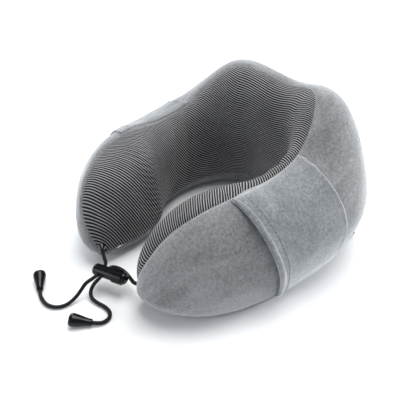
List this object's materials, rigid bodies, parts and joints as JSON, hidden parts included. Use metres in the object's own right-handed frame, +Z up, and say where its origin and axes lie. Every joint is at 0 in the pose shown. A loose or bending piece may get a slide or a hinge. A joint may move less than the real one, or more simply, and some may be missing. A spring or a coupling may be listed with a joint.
{
  "type": "neck pillow",
  "caption": "Horseshoe neck pillow: moulded foam in a zipped cover with a ribbed inner face, a raised back, side pockets and a drawcord with a sprung lock.",
  "frame": {"origin": "middle of the pillow's footprint on the surface it rests on", "axes": "+Z up; the opening between the arms faces -Y and the raised back is at +Y; X = 0 is the plane between the arms"},
  "size_m": [0.2838, 0.3485, 0.1527],
  "materials": {
    "outer_velour": "light cool grey velour with a short soft nap",
    "pocket_velour": "the same velour, slightly lighter where it is stretched",
    "ribbed_knit": "fine black and pale grey ribs, matt",
    "memory_foam": "moulded open-cell foam, off white",
    "liner_cloth": "thin white knitted inner bag",
    "cord_braid": "black round braid",
    "zip_tape": "woven grey tape",
    "zip_coil": "grey nylon coil",
    "zip_metal": "dark satin enamel",
    "black_plastic": "glossy moulded black",
    "spring_steel": "drawn wire",
    "label_satin": "blank white satin ribbon"
  },
  "bodies": {
    "root": {"base_panel": "outer_velour", "care_label": "label_satin", "cord_anchor_left": "cord_braid", "cord_anchor_right": "cord_braid", "cord_end_bell_left": "black_plastic", "cord_end_bell_right": "black_plastic", "cord_end_plug_left": "black_plastic", "cord_end_plug_right": "black_plastic", "cord_lock_barrel": "black_plastic", "cord_lock_spring": "spring_steel", "core_liner": "liner_cloth", "drawcord_left": "cord_braid", "drawcord_right": "cord_braid", "foam_core": "memory_foam", "inner_panel": "ribbed_knit", "outer_panel": "outer_velour", "pocket_hem_left": "pocket_velour", "pocket_hem_right": "pocket_velour", "pocket_panel_left": "pocket_velour", "pocket_panel_right": "pocket_velour", "zip_coil_lower": "zip_coil", "zip_coil_upper": "zip_coil", "zip_stop_left": "zip_metal", "zip_stop_right": "zip_metal", "zip_tape_lower": "zip_tape", "zip_tape_upper": "zip_tape"},
    "zip_slider": {"zip_slider": "zip_metal"},
    "zip_pull": {"zip_pull": "zip_metal"},
    "cord_lock_plunger": {"cord_lock_plunger": "black_plastic"}
  },
  "joints": [
    {"name": "zip_slide", "type": "hinge", "parent": "root", "child": "zip_slider", "pos_m": [0, -0.0016, 0.0133], "axis": [0, 0, 1], "range_deg": [0, 119]},
    {"name": "zip_pull_swing", "type": "hinge", "parent": "zip_slider", "child": "zip_pull", "pos_m": [0.11279, 0.06484, 0.01107], "axis": [0.5305, 0.3125, 0.788], "range_deg": [-140, 28]},
    {"name": "cord_lock_press", "type": "slide", "parent": "root", "child": "cord_lock_plunger", "axis": [-0.9219, -0.3875, 0], "range_m": [0, 0.0028], "stiffness_N_per_m": 800, "springref_m": -0.003, "deforming": ["cord_lock_spring"]}
  ]
}
